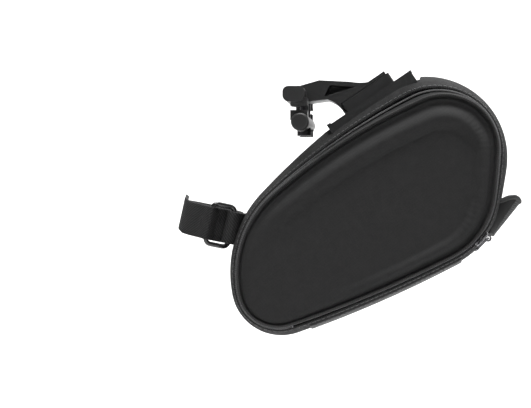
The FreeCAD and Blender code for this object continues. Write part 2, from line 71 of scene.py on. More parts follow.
camera_data = bpy.data.cameras.new("camera")
camera_data.sensor_width = SENSOR
camera_data.lens = SENSOR * VIEW_DISTANCE / VIEW_WIDTH
camera_data.clip_start = 0.01
camera = bpy.data.objects.new("camera", camera_data)
camera.location = VIEW_CENTRE + VIEW_DISTANCE * Vector((math.sin(VIEW_TURN), -math.cos(VIEW_TURN), 0))
camera.rotation_euler = (math.radians(90), 0, VIEW_TURN)
bpy.context.scene.collection.objects.link(camera)
bpy.context.scene.camera = camera
bpy.context.scene.view_settings.view_transform = "Standard"


# ---- Studio ----------------------------------------------------------------------
# A pale seamless sweep: floor, curve and wall in one sheet, lit from above by a
# wide soft box and filled from both sides.
class Level:
    """A number or colour that varies over a surface, and the arithmetic on it."""

    def __init__(self, tree, socket=None):
        self.tree = tree
        self.socket = socket

    def node(self, kind, settings=None, inputs=None, output=0):
        made = self.tree.nodes.new(kind)
        for name, value in (settings or {}).items():
            setattr(made, name, value)
        for name, value in (inputs or {}).items():
            if isinstance(value, Level):
                self.tree.links.new(value.socket, made.inputs[name])
            else:
                made.inputs[name].default_value = value
        return Level(self.tree, made.outputs[output]) if len(made.outputs) else None

    def maths(self, operation, first, second=None):
        inputs = {0: first} if second is None else {0: first, 1: second}
        return self.node("ShaderNodeMath", {"operation": operation}, inputs)

    def __add__(self, other):
        return self.maths("ADD", self, other)

    def __radd__(self, other):
        return self.maths("ADD", other, self)

    def __sub__(self, other):
        return self.maths("SUBTRACT", self, other)

    def __rsub__(self, other):
        return self.maths("SUBTRACT", other, self)

    def __mul__(self, other):
        return self.maths("MULTIPLY", self, other)

    def __rmul__(self, other):
        return self.maths("MULTIPLY", other, self)

    def __abs__(self):
        return self.maths("ABSOLUTE", self)

    def sine(self):
        return self.maths("SINE", self)

    def fraction(self):
        return self.maths("FRACT", self)

    def step(self, low, high):
        """0 below low, 1 above high, smooth between."""
        ends = {"Value": self, "From Min": low, "From Max": high}
        return self.node("ShaderNodeMapRange", {"interpolation_type": "SMOOTHSTEP"}, ends)

    def dye(self, low, high):
        """The colour between low and high that this share gives."""
        ends = {"Factor": self, 6: (*low, 1), 7: (*high, 1)}
        return self.node("ShaderNodeMix", {"data_type": "RGBA"}, ends, 2)


def start_finish(name):
    """A new material: the material, the piece's own coordinates and a level to build from."""
    material = bpy.data.materials.new(name)
    material.use_nodes = True
    material.node_tree.nodes.clear()
    root = Level(material.node_tree)
    place = root.node("ShaderNodeTexCoord", output=3)
    return material, place, root


def axes_of(vector):
    """The three numbers of a vector level."""
    split = vector.node("ShaderNodeSeparateXYZ", inputs={0: vector})
    outputs = split.socket.node.outputs
    return [Level(vector.tree, outputs[index]) for index in range(3)]


def grain(place, size, detail=3.0, rough=0.55):
    """Soft noise whose blotches are about size metres across."""
    inputs = {"Vector": place, "Scale": 1 / size, "Detail": detail, "Roughness": rough}
    return place.node("ShaderNodeTexNoise", None, inputs)


def close_finish(material, root, colour, roughness, height=None, depth=0.0002, strength=0.6, **constants):
    """Ends a material in one shader. constants are plain numbers set on the shader's own sockets."""
    inputs = {"Base Color": colour, "Roughness": roughness}
    if height is not None:
        relief = {"Height": height, "Distance": depth, "Strength": strength}
        inputs["Normal"] = root.node("ShaderNodeBump", None, relief)
    for name, value in constants.items():
        inputs[name.replace("_", " ").title().replace("Ior", "IOR")] = value
    shader = root.node("ShaderNodeBsdfPrincipled", None, inputs)
    root.node("ShaderNodeOutputMaterial", None, {"Surface": shader})
    return material


FLOOR_DROP = 0.16
SWEEP_RADIUS = 0.9
SWEEP_DEPTH = 2.4
SWEEP_HALF = 4.0

sweep_line = [(-3.0, 0.0), (SWEEP_DEPTH, 0.0)]
for turn in range(1, 13):
    bend = math.radians(90 * turn / 12)
    sweep_line.append((SWEEP_DEPTH + SWEEP_RADIUS * math.sin(bend), SWEEP_RADIUS * (1 - math.cos(bend))))
sweep_line.append((SWEEP_DEPTH + SWEEP_RADIUS, 4.0))
floor_z = cad_low[2] - FLOOR_DROP
sweep_mesh = bpy.data.meshes.new("sweep")
sweep_points = [(side * SWEEP_HALF, y, floor_z + z) for y, z in sweep_line for side in (-1, 1)]
sweep_faces = [(2 * i, 2 * i + 1, 2 * i + 3, 2 * i + 2) for i in range(len(sweep_line) - 1)]
sweep_mesh.from_pydata(sweep_points, [], sweep_faces)
sweep_mesh.polygons.foreach_set("use_smooth", [True] * len(sweep_faces))
sweep = bpy.data.objects.new("sweep", sweep_mesh)
bpy.context.scene.collection.objects.link(sweep)
paper, paper_place, paper_root = start_finish("studio_paper")
paper_shade = grain(paper_place, 0.4).dye((0.86, 0.86, 0.86), (0.90, 0.90, 0.90))
sweep_mesh.materials.append(close_finish(paper, paper_root, paper_shade, 0.9))

world = bpy.data.worlds.new("studio")
world.use_nodes = True
world.node_tree.nodes["Background"].inputs["Color"].default_value = (1.0, 1.0, 1.0, 1)
world.node_tree.nodes["Background"].inputs["Strength"].default_value = 0.13
bpy.context.scene.world = world

BAG_MIDDLE = (0.03, 0.0, -0.06)
SOFT_BOXES = [      # name, place, aim, width, depth, watts
    ("top_box", (0.10, -0.28, 1.05), BAG_MIDDLE, 0.7, 0.5, 22),
    ("left_fill", (-1.0, -0.9, 0.35), BAG_MIDDLE, 0.7, 0.9, 1.6),
    ("tail_fill", (1.2, -0.45, 0.30), BAG_MIDDLE, 0.4, 1.0, 3),
    ("right_fill", (0.5, 1.0, 0.75), BAG_MIDDLE, 0.7, 0.6, 7),
    ("wall_wash", (0.0, 1.3, 1.7), (0.0, 3.0, 0.2), 3.0, 0.8, 85),
    ("floor_wash", (0.0, 1.0, 1.6), (0.0, 1.4, -0.3), 3.0, 1.2, 34),
]
for name, place, aim, width, depth, power in SOFT_BOXES:
    light = bpy.data.lights.new(name, "AREA")
    light.shape = "RECTANGLE"
    light.size = width
    light.size_y = depth
    light.energy = power
    lamp = bpy.data.objects.new(name, light)
    lamp.location = place
    lamp.rotation_euler = (Vector(aim) - Vector(place)).to_track_quat("-Z", "Y").to_euler()
    bpy.context.scene.collection.objects.link(lamp)

# ---- Profile of the bag ----------------------------------------------------------
# The case is a rounded teardrop: nose, front, back, top, tail, rear and belly are
# seven arcs that run into each other. It is fullest on the centre plane and falls
# away to the two seams.
MM = 0.001
MIDDLE_CIRCLES = {"front": (27.3, -96.6, 69.1), "top": (74.4, -28.7, 48.4), "rear": (70.1, -47.6, 49.3)}
SEAM_CIRCLES = {"front": (27.3, -96.6, 61.3), "top": (84.8, -24.3, 31.0), "rear": (70.5, -47.2, 43.3)}
NOSE_RADII = (30.0, 22.5)
NOSE_ANGLE = 191.7
LONG_RADII = {"back": (440.0, 330.0), "tail": (360.0, 300.0), "belly": (720.0, 720.0)}
CROWN_RADIUS = 76.5
CROWN_HALF = 36.0
ARC_STEPS = (44, 40, 84, 88, 28, 76, 80)
SEAM_Y = 36.4


def crown(y):
    """0 on the centre plane, 1 at the seams; y in millimetres."""
    full = CROWN_RADIUS - math.sqrt(CROWN_RADIUS ** 2 - CROWN_HALF ** 2)
    return (CROWN_RADIUS - math.sqrt(CROWN_RADIUS ** 2 - min(abs(y), CROWN_HALF) ** 2)) / full


def long_arc(first, second, radius):
    a, b = radius - first[2], radius - second[2]
    dx, dz = second[0] - first[0], second[1] - first[1]
    span = math.hypot(dx, dz)
    along = (a * a - b * b + span * span) / (2 * span)
    aside = math.sqrt(a * a - along * along)
    return (first[0] + (dx * along + dz * aside) / span, first[1] + (dz * along - dx * aside) / span, radius)


def bearing(centre, toward):
    return math.degrees(math.atan2(toward[1] - centre[1], toward[0] - centre[0]))


def arcs(share):
    """Seven arcs as centre x, centre z, radius, first and last angle, clockwise from under the nose."""
    circle = {}
    for name, low in MIDDLE_CIRCLES.items():
        circle[name] = tuple(a + (b - a) * share for a, b in zip(low, SEAM_CIRCLES[name]))
    nose_r = NOSE_RADII[0] + (NOSE_RADII[1] - NOSE_RADII[0]) * share
    front, top, rear = circle["front"], circle["top"], circle["rear"]
    turn = math.radians(NOSE_ANGLE)
    reach = front[2] - nose_r
    nose = (front[0] + reach * math.cos(turn), front[1] + reach * math.sin(turn), nose_r)
    radius = {name: a + (b - a) * share for name, (a, b) in LONG_RADII.items()}
    back = long_arc(front, top, radius["back"])
    tail = long_arc(top, rear, radius["tail"])
    belly = long_arc(rear, nose, radius["belly"])
    ends = [bearing(belly, nose) + 360, NOSE_ANGLE, bearing(back, front), bearing(back, top)]
    ends += [bearing(tail, top), bearing(tail, rear), bearing(belly, rear), bearing(belly, nose)]
    owners = (nose, front, back, top, tail, rear, belly)
    return [(*owner, ends[i], ends[i + 1]) for i, owner in enumerate(owners)]


class Outline:
    """The profile at one width: points, outward normals and the length walked, in millimetres."""

    def __init__(self, share, inset=0.0):
        places, normals = [], []
        for (x, z, radius, first, last), steps in zip(arcs(share), ARC_STEPS):
            turn = np.radians(np.linspace(first, last, steps, endpoint=False))
            out = np.stack([np.cos(turn), np.sin(turn)], 1)
            normals.append(out)
            places.append(np.array([x, z]) + (radius - inset) * out)
        self.points = np.concatenate(places)
        self.normals = np.concatenate(normals)
        hops = np.linalg.norm(np.roll(self.points, -1, 0) - self.points, axis=1)
        self.walk = np.concatenate([[0], np.cumsum(hops)])

    def at(self, length):
        """Point and normal at a walked length."""
        along = np.asarray(length) % self.walk[-1]
        closed = np.vstack([self.points, self.points[:1]])
        normal = np.vstack([self.normals, self.normals[:1]])
        point = np.stack([np.interp(along, self.walk, closed[:, i]) for i in (0, 1)], -1)
        out = np.stack([np.interp(along, self.walk, normal[:, i]) for i in (0, 1)], -1)
        return point, out / np.linalg.norm(out, axis=-1, keepdims=True)


STEPS_ROUND = sum(ARC_STEPS)
ARC_STARTS = np.concatenate([[0], np.cumsum(ARC_STEPS)])


def smooth(value, low, high):
    t = np.clip((value - low) / (high - low), 0, 1)
    return t * t * (3 - 2 * t)


def hill(value, centre, width):
    return np.exp(-((value - centre) / width) ** 2)


def skin(name, grid, uv, closed, finish):
    """A smooth sheet from a grid of points in millimetres, rows by columns; columns join up if closed."""
    rows, columns = grid.shape[:2]
    mesh = bpy.data.meshes.new(name)
    across = columns if closed else columns - 1
    faces = []
    for r in range(rows - 1):
        for c in range(across):
            n = (c + 1) % columns
            faces.append((r * columns + c, r * columns + n, (r + 1) * columns + n, (r + 1) * columns + c))
    mesh.from_pydata((grid.reshape(-1, 3) * MM).tolist(), [], faces)
    if uv is not None:
        layer = mesh.uv_layers.new(name="cloth")
        spread = np.zeros((len(faces), 4, 2))
        for index in range(len(faces)):
            r, c = divmod(index, across)
            spread[index] = [uv[r, c], uv[r, c + 1], uv[r + 1, c + 1], uv[r + 1, c]]
        layer.data.foreach_set("uv", (spread * MM).ravel())
    mesh.polygons.foreach_set("use_smooth", [True] * len(faces))
    piece = bpy.data.objects.new(name, mesh)
    bpy.context.scene.collection.objects.link(piece)
    mesh.materials.append(finish)
    return piece


def close_up(piece, weld=True, caps=True):
    """Welds a rolled-up sheet along its join, caps its open ends and turns its faces outward."""
    work = bmesh.new()
    work.from_mesh(piece.data)
    if weld:
        bmesh.ops.remove_doubles(work, verts=work.verts, dist=1e-6)
    if caps:
        bmesh.ops.holes_fill(work, edges=[edge for edge in work.edges if edge.is_boundary])
    bmesh.ops.recalc_face_normals(work, faces=work.faces)
    work.to_mesh(piece.data)
    work.free()
    return piece


def across_at(place, y):
    """Points of the profile, given as x and z, set at width y."""
    return np.column_stack([place[:, 0], np.full(len(place), y), place[:, 1]])


def running(path):
    """Unit directions along a line of points."""
    heading = np.gradient(path, axis=0)
    return heading / np.linalg.norm(heading, axis=1, keepdims=True)


def walked(path):
    """Length along a line of points, from 0 at its start."""
    return np.concatenate([[0], np.cumsum(np.linalg.norm(np.diff(path, axis=0), axis=1))])


def thicken(piece, depth, offset=-1.0, inside=None):
    """Gives a sheet its thickness in millimetres; inside is the finish of its back."""
    wall = piece.modifiers.new("wall", "SOLIDIFY")
    wall.thickness = depth * MM
    wall.offset = offset
    if inside is not None:
        piece.data.materials.append(inside)
        wall.material_offset = 1


# ---- Side panels -----------------------------------------------------------------
# Each side is a foam sheet laminated with fine woven cloth and pressed in a mould: a
# pinched groove inside the seam, a soft bead along back, tail and rear, a flat middle.
def weave(place, pitch, lean=0.0):
    """Plain weave of the given thread pitch in metres, as heights from 0 to 1."""
    x, _, z = axes_of(place)
    warp = x * math.cos(lean) + z * math.sin(lean)
    weft = z * math.cos(lean) - x * math.sin(lean)
    rate = 2 * math.pi / pitch
    return ((warp * rate).sine() * (weft * rate).sine()) * 0.5 + 0.5


def shell_cloth():
    material, place, root = start_finish("shell_cloth")
    threads = weave(place, 0.0011, 0.5)
    mottle = grain(place, 0.0035, 4.0, 0.7)
    fuzz = grain(place, 0.0007, 2.0, 0.6)
    uv = root.node("ShaderNodeUVMap", {"uv_map": "cloth"})
    pull = root.node("ShaderNodeVectorMath", {"operation": "MULTIPLY"}, {0: uv, 1: (1.0, 0.16, 1.0)})
    wrinkle = grain(pull, 0.0042, 2.0, 0.5)
    x, _, _ = axes_of(place)
    tail = x.step(0.088, 0.106)
    height = threads * 0.25 + fuzz * 0.55 + mottle * 0.5 + wrinkle * tail * 1.3
    shade = (mottle * 0.45 + fuzz * 0.3 + threads * 0.25).step(0.25, 0.8)
    colour = shade.dye((0.0080, 0.0080, 0.0082), (0.0185, 0.0185, 0.0187))
    rough = 0.66 + mottle * 0.16
    return close_finish(material, root, colour, rough, height, 0.00035, 0.55, sheen_weight=0.08,
                        sheen_roughness=0.45, specular_ior_level=0.28)


def lining_cloth():
    material, place, root = start_finish("lining_cloth")
    nap = grain(place, 0.0009, 3.0, 0.7)
    colour = nap.dye((0.060, 0.060, 0.064), (0.120, 0.120, 0.126))
    return close_finish(material, root, colour, 0.9, nap, 0.0003, 0.6, sheen_weight=0.5)


shell_finish = shell_cloth()
lining_finish = lining_cloth()

BEAD_HEIGHT = 3.1
CREASE_DEPTH = 0.11
CREASE_PITCH = 3.4
VALLEY_DEPTH = 1.8
PANEL_WALL = 2.2
PANEL_CENTRE = np.array([34.0, -66.0])
RINGS = np.concatenate([np.linspace(0.0, 3.0, 10), np.linspace(3.5, 24.0, 42)])
INNER_RINGS = 16
OFFSET_LIMIT = 19.0     # beyond this inset the rings close on the centre instead


def bead_course():
    """How strong the bead is, and how far in its crest lies, at each step round the outline."""
    nose, front, back, top, tail, rear, belly, end = ARC_STARTS
    stations = [nose, nose + 30, front + 6, back, back + 60, top + 10, top + 60]
    stations += [tail, rear, rear + 40, belly, belly + 30, belly + 62, end]
    strength = [0.0, 0.0, 0.05, 0.85, 1.0, 1.0, 1.0, 0.85, 0.75, 0.65, 0.60, 0.45, 0.05, 0.0]
    crest = [8.0, 8.0, 9.0, 11.5, 12.5, 13.5, 12.0, 9.0, 8.5, 8.0, 7.0, 6.5, 6.0, 8.0]
    steps = np.arange(STEPS_ROUND)
    return np.interp(steps, stations, strength), np.interp(steps, stations, crest)


def moulded_height(inset, strength, crest):
    """How far the panel stands out of the seam plane, inset millimetres inside the seam."""
    pinch = -1.5 * hill(inset, 1.3, 0.9)
    valley = -VALLEY_DEPTH * strength * hill(inset, 0.38 * crest, 0.22 * crest)
    rise = smooth(inset, 0.40 * crest, 0.98 * crest)
    fall = 1 - smooth(inset, crest, 1.62 * crest)
    bead = BEAD_HEIGHT * strength * rise * fall
    shoulder = 0.8 * smooth(inset, 0.5, 5.0) * (1 - strength) + 0.4 * smooth(inset, 0, 30)
    return pinch + valley + bead + shoulder


def side_panel(name, side):
    kernel = np.ones(25) / 25
    once = slice(STEPS_ROUND, 2 * STEPS_ROUND)
    strength, crest = (np.convolve(np.tile(row, 3), kernel, "same")[once] for row in bead_course())
    seam = Outline(1.0)
    tail_share = np.interp(seam.points[:, 0], [88.0, 106.0], [0.0, 1.0])
    heights = seam.points[:, 1]
    wave = heights * (2 * math.pi / CREASE_PITCH) + 1.7 * np.sin(heights / 7.0)
    creases = CREASE_DEPTH * tail_share * np.sin(wave)
    rows, uvs = [], []
    for y, inset in ((SEAM_Y - 3.0, 0.0), (SEAM_Y - 2.2, 0.0), (SEAM_Y - 1.4, 0.0), (SEAM_Y - 0.5, 0.1)):
        edge = Outline(crown(y))
        place = edge.points - edge.normals * inset
        rows.append(across_at(place, side * y))
        uvs.append(np.full(STEPS_ROUND + 1, y - SEAM_Y))
    for inset in RINGS[1:]:
        place = seam.points - seam.normals * min(inset, OFFSET_LIMIT)
        if inset > OFFSET_LIMIT:
            place = place + (PANEL_CENTRE - place) * (inset - OFFSET_LIMIT) / 60.0
        out = SEAM_Y + moulded_height(inset, strength, crest) + creases * hill(inset, 7.5, 4.5)
        rows.append(np.column_stack([place[:, 0], side * out, place[:, 1]]))
        uvs.append(np.full(STEPS_ROUND + 1, inset))
    last = rows[-1]
    hub_height = SEAM_Y + moulded_height(40.0, 0.0, 10.0)
    hub = np.array([PANEL_CENTRE[0], side * hub_height, PANEL_CENTRE[1]])
    for ring in range(1, INNER_RINGS + 1):
        share = ring / (INNER_RINGS + 0.3)
        rows.append(last + (hub - last) * share)
        uvs.append(np.full(STEPS_ROUND + 1, RINGS[-1] + 30 * share))
    grid = np.array(rows)
    if side > 0:
        grid = grid[:, ::-1]
    lengths = np.tile(seam.walk, (len(rows), 1))
    uv = np.stack([lengths, np.array(uvs)], -1)
    panel = skin(name, grid, uv, True, shell_finish)
    work = bmesh.new()
    work.from_mesh(panel.data)
    work.verts.ensure_lookup_table()
    rim = [work.verts[(len(rows) - 1) * STEPS_ROUND + c] for c in range(STEPS_ROUND)]
    work.faces.new(rim).smooth = True
    bmesh.ops.recalc_face_normals(work, faces=work.faces)
    outward = sum(f.normal.y * f.calc_area() for f in work.faces) * side
    if outward < 0:
        bmesh.ops.reverse_faces(work, faces=work.faces)
    work.to_mesh(panel.data)
    work.free()
    thicken(panel, PANEL_WALL, inside=lining_finish)
    return panel


for name, node, body, side in (("left_side_shell", "left_side_panel", "lid", -1),
                               ("right_side_shell", "right_side_panel", "bag", 1)):
    panel = side_panel(name, side)
    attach(panel, body)
    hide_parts(node)


# ---- Piping ----------------------------------------------------------------------
# A thin cord wrapped in a bias strip of the same cloth is sewn into each side seam.
def piping_cloth():
    material, place, root = start_finish("piping_cloth")
    uv = root.node("ShaderNodeUVMap", {"uv_map": "cloth"})
    along, round_it, _ = axes_of(uv)
    twist = ((along + round_it * 0.6) * (2 * math.pi / 0.0013)).sine() * 0.5 + 0.5
    nap = grain(place, 0.0008)
    colour = (twist * 0.5 + nap * 0.5).dye((0.012, 0.012, 0.012), (0.030, 0.030, 0.030))
    return close_finish(material, root, colour, 0.72, twist * 0.7 + nap * 0.5, 0.0003, 0.6,
                        specular_ior_level=0.3)


def tube(name, path, outs, radius, finish, sides=12):
    """A closed round cord: path points, outward directions and radius in millimetres."""
    tangent = np.roll(path, -1, 0) - np.roll(path, 1, 0)
    tangent /= np.linalg.norm(tangent, axis=1, keepdims=True)
    side = np.cross(tangent, outs)
    rows = []
    for turn in np.linspace(0, 2 * math.pi, sides + 1):
        rows.append(path + radius * (math.cos(turn) * outs + math.sin(turn) * side))
    lengths = walked(np.vstack([path, path[:1]]))
    turns = np.linspace(0, 2 * math.pi * radius, sides + 1)
    uv = np.stack(np.broadcast_arrays(lengths[None, :], turns[:, None]), -1)
    return close_up(skin(name, np.array(rows), uv, True, finish), caps=False)


piping_finish = piping_cloth()
PIPING_RADIUS = 0.6
seam = Outline(1.0)
outs = across_at(seam.normals, 0.0)
for name, node, body, side in (("lid_piping_cord", "lid_piping", "lid", -1),
                               ("right_piping_cord", "right_piping", "bag", 1)):
    path = across_at(seam.points, side * SEAM_Y)
    cord = tube(name, path - outs * 0.1, outs, PIPING_RADIUS, piping_finish)
    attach(cord, body)
    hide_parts(node)


# ---- Gusset band -----------------------------------------------------------------
# One strip of heavy coated cloth runs right round the case, crowned across its width.
# It is pressed in under the moulded base, and the post strap lies in a shallow hollow.
BASE_START = np.array([17.4, 0.0, -10.5])
BASE_TURN = math.radians(33.9)
BASE_LENGTH = 58.0
BASE_HALF = 21.0
BLOCK_START = 38.0
BLOCK_HALF = 14.0
BLOCK_DEPTH = 7.7
GUSSET_LOW = -28.6
GUSSET_HIGH = 33.6
GUSSET_WALL = 2.4
POST_AT = np.array([-53.2, 0.0, -67.0])
POST_TURN = math.radians(12.5)
POST_RADIUS = 15.8
WEBBING_WIDTH = 20.0
WEBBING_THICK = 1.6

along_base = np.array([math.cos(BASE_TURN), 0.0, math.sin(BASE_TURN)])
above_base = np.array([-math.sin(BASE_TURN), 0.0, math.cos(BASE_TURN)])
toward_bag = np.array([math.cos(POST_TURN), 0.0, -math.sin(POST_TURN)])
up_post = np.array([math.sin(POST_TURN), 0.0, math.cos(POST_TURN)])
TO_RIGHT = np.array([0.0, 1.0, 0.0])


def window(value, low, high, soft):
    """1 between low and high, falling to 0 over soft outside them."""
    return smooth(value, low - soft, low) * (1 - smooth(value, high, high + soft))


def pressed(points):
    """Gusset points with the hollows under the base and behind the strap."""
    points = np.array(points, float)
    offset = points - BASE_START
    s, h, y = offset @ along_base, offset @ above_base, points[..., 1]
    hollows = ((-1.1, 0.0, BASE_LENGTH, BASE_HALF, 3.0),
               (-BLOCK_DEPTH - 0.3, BLOCK_START, BASE_LENGTH + 1.5, BLOCK_HALF, 2.2))
    for floor, low, high, half, soft in hollows:
        share = window(s, low, high, soft) * window(np.abs(y), -1.0, half, soft) * (h > -30)
        points = points - (np.maximum(h - floor, 0) * share)[..., None] * above_base
        h = (points - BASE_START) @ above_base
    reach = points - POST_AT
    out, up = reach @ toward_bag, reach @ up_post
    radius = np.hypot(out, y)
    keep_off = POST_RADIUS + WEBBING_THICK + 0.4
    share = window(np.abs(up), -1.0, WEBBING_WIDTH / 2 + 0.6, 5.0)
    push = np.maximum(keep_off - radius, 0) * share
    away = (out[..., None] * toward_bag + y[..., None] * TO_RIGHT) / radius[..., None]
    return points + push[..., None] * away


def on_gusset(y, length, lift=0.0):
    """Points on the gusset at width y and walked lengths, lift millimetres above the cloth."""
    line = Outline(crown(y))
    place, out = line.at(length)
    return pressed(across_at(place + out * lift, y))


def gusset_cloth():
    material, place, root = start_finish("gusset_cloth")
    along, across, _ = axes_of(root.node("ShaderNodeUVMap", {"uv_map": "cloth"}))
    rate = 2 * math.pi / 0.0021
    yarns = ((along + across) * rate).sine() * ((along - across) * rate).sine() * 0.5 + 0.5
    ply = grain(place, 0.0006, 2.0, 0.7)
    mottle = grain(place, 0.0035, 4.0, 0.75)
    shade = (yarns * 0.5 + ply * 0.2 + mottle * 0.5).step(0.30, 0.90)
    colour = shade.dye((0.0055, 0.0055, 0.0057), (0.0420, 0.0420, 0.0425))
    height = yarns + ply * 0.3 + mottle * 0.4
    return close_finish(material, root, colour, 0.80 + mottle * 0.12, height, 0.0006, 0.9,
                        specular_ior_level=0.16)


gusset_finish = gusset_cloth()
gusset_rows = [np.linspace(low, high, count) for low, high, count in (
    (GUSSET_LOW, -22.0, 6), (-20.6, -10.2, 9), (-8.0, 8.0, 9), (10.2, 20.6, 9), (22.0, GUSSET_HIGH, 8))]
grid, uvs = [], []
for y in np.concatenate(gusset_rows):
    line = Outline(crown(y))
    grid.append(pressed(across_at(line.points, y)))
    uvs.append(np.stack([line.walk, np.full(STEPS_ROUND + 1, y)], -1))
gusset = skin("gusset_cloth_band", np.array(grid), np.array(uvs), True, gusset_finish)
thicken(gusset, GUSSET_WALL, inside=lining_finish)
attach(gusset, "bag")
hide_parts("gusset_band")


# ---- Stitching -------------------------------------------------------------------
# Lockstitch in thick bonded polyester thread holds the gusset to the piping and to the zip
# tape. Every stitch is its own short loop of thread, sunk a little at both ends.
def thread_finish():
    material, place, root = start_finish("bonded_thread")
    ply = grain(place, 0.0005, 2.0)
    colour = ply.dye((0.020, 0.020, 0.021), (0.060, 0.060, 0.062))
    return close_finish(material, root, colour, 0.5, ply, 0.0001, 0.5, sheen_weight=0.3)


stitch_finish = thread_finish()
STITCH_PITCH = 3.0
STITCH_LENGTH = 2.3
THREAD_RADIUS = 0.24


STITCH_SHAPE = [         # place along the stitch, share of the thread's radius, lift
    (-0.5, 0.35, -0.9), (-0.36, 0.95, 0.25), (0.0, 1.0, 0.55), (0.36, 0.95, 0.25), (0.5, 0.35, -0.9),
]
THREAD_SIDES = 6


def at_length(where, lengths, columns):
    """A point or direction at one length along a line."""
    return np.array([np.interp(where, lengths, columns[:, i]) for i in range(3)])


def stitch_row(name, points, outs):
    """One object of separate stitches along a line of points, which are far closer than a stitch."""
    lengths = walked(points)
    verts, faces = [], []
    ring = THREAD_SIDES
    for index in range(int(lengths[-1] // STITCH_PITCH)):
        middle = (index + 0.5) * STITCH_PITCH
        start = len(verts)
        for along, thick, lift in STITCH_SHAPE:
            where = middle + along * STITCH_LENGTH
            centre = at_length(where, lengths, points)
            out = at_length(where, lengths, outs)
            ahead = at_length(where + 0.2, lengths, points) - centre
            side = np.cross(ahead / (np.linalg.norm(ahead) + 1e-9), out)
            for turn in range(ring):
                bend = 2 * math.pi * turn / ring
                reach = THREAD_RADIUS * thick * (math.cos(bend) * out + math.sin(bend) * side)
                verts.append(centre + out * lift * THREAD_RADIUS + reach)
        for step in range(len(STITCH_SHAPE) - 1):
            for turn in range(ring):
                a, b = start + step * ring + turn, start + step * ring + (turn + 1) % ring
                faces.append((a, b, b + ring, a + ring))
        faces.append([start + turn for turn in reversed(range(ring))])
        faces.append([start + (len(STITCH_SHAPE) - 1) * ring + turn for turn in range(ring)])
    mesh = bpy.data.meshes.new(name)
    mesh.from_pydata((np.array(verts) * MM).tolist(), [], faces)
    mesh.polygons.foreach_set("use_smooth", [True] * len(faces))
    mesh.materials.append(stitch_finish)
    row = bpy.data.objects.new(name, mesh)
    bpy.context.scene.collection.objects.link(row)
    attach(row, "bag")


SEAM_ROWS = {"right_seam_stitches": 31.4, "right_seam_stitches_outer": 29.2, "zip_tape_stitches": -27.4}
for name, y in SEAM_ROWS.items():
    line = Outline(crown(y))
    length = np.arange(0.0, line.walk[-1], 0.5)
    _, out = line.at(length)
    stitch_row(name, on_gusset(y, length, 0.05), across_at(out, 0.0))


# ---- Zip -------------------------------------------------------------------------
# A number five nylon coil zip. Each half is a woven tape with a coil of thick nylon
# monofilament sewn along its edge; the two coils mesh turn by turn.
def tape_cloth():
    material, place, root = start_finish("zip_tape")
    along, across, _ = axes_of(root.node("ShaderNodeUVMap", {"uv_map": "cloth"}))
    chevron = abs((across * (1 / 0.0016)).fraction() - 0.5) * 0.0016
    ribs = ((along + chevron) * (2 * math.pi / 0.0008)).sine() * 0.5 + 0.5
    nap = grain(place, 0.0006)
    colour = (ribs * 0.6 + nap * 0.4).dye((0.010, 0.010, 0.0105), (0.030, 0.030, 0.031))
    return close_finish(material, root, colour, 0.75, ribs + nap * 0.4, 0.0002, 0.7)


def coil_nylon():
    material, place, root = start_finish("coil_nylon")
    streak = grain(place, 0.0012, 2.0)
    colour = streak.dye((0.012, 0.012, 0.012), (0.026, 0.026, 0.027))
    return close_finish(material, root, colour, 0.32 + streak * 0.12, streak, 0.00005, 0.3)


tape_finish = tape_cloth()
coil_finish = coil_nylon()
ZIP_Y = -31.0
ZIP_END_ANGLE = -47.0
COIL_PITCH = 1.25
COIL_SINK = 0.85
COIL_REACH = 0.85
COIL_RISE = 0.5
COIL_WIRE = 0.30
COIL_OFFSET = 0.62      # coil's middle, from the line where the halves meet
STEPS_EACH_TURN = 10
TAPE_SINK = 1.15
TAPE_SPARE = 4.0        # tape that runs on past the bottom stop
zip_line = Outline(crown(ZIP_Y))
rear_first, rear_last = arcs(crown(ZIP_Y))[5][3:5]
zip_share = (rear_first - ZIP_END_ANGLE) / (rear_first - rear_last)
rear_walk = zip_line.walk[ARC_STARTS[5:7]]
zip_length = rear_walk[0] + zip_share * (rear_walk[1] - rear_walk[0])


def coil(name, side, shift):
    """One half's coil: side is -1 on the lid and 1 on the bag."""
    count = int(zip_length / COIL_PITCH) * STEPS_EACH_TURN
    length = np.linspace(0, zip_length, count)
    turn = 2 * math.pi * (length / COIL_PITCH + shift)
    place, out = zip_line.at(length)
    outs = across_at(out, 0.0)
    path = across_at(place, ZIP_Y + side * COIL_OFFSET) - outs * COIL_SINK
    path = path + outs * (COIL_RISE * np.cos(turn))[:, None]
    path = path + TO_RIGHT * (COIL_REACH * np.sin(turn))[:, None] * side
    tangent = running(path)
    across = np.cross(tangent, outs)
    across /= np.linalg.norm(across, axis=1, keepdims=True)
    upward = np.cross(across, tangent)
    rows = []
    for bend in np.linspace(0, 2 * math.pi, 6)[:-1]:
        rows.append(path + COIL_WIRE * (math.cos(bend) * upward + math.sin(bend) * across))
    grid = np.transpose(np.array(rows), (1, 0, 2))
    return close_up(skin(name, grid, None, True, coil_finish), weld=False)


def tape(name, y_from, y_to):
    """A flat woven strip along the zip line, rounded down at both edges."""
    length = np.arange(0.0, zip_length + TAPE_SPARE, 1.0)
    place, out = zip_line.at(length)
    grid, uvs = [], []
    for y in np.linspace(y_from, y_to, 6):
        edge = min(abs(y - y_from), abs(y - y_to))
        sink = TAPE_SINK + 0.5 * (1 - smooth(edge, 0.0, 0.5))
        grid.append(across_at(place - out * sink, y))
        uvs.append(np.stack([length, np.full(len(length), y)], -1))
    return skin(name, np.array(grid), np.array(uvs), False, tape_finish)


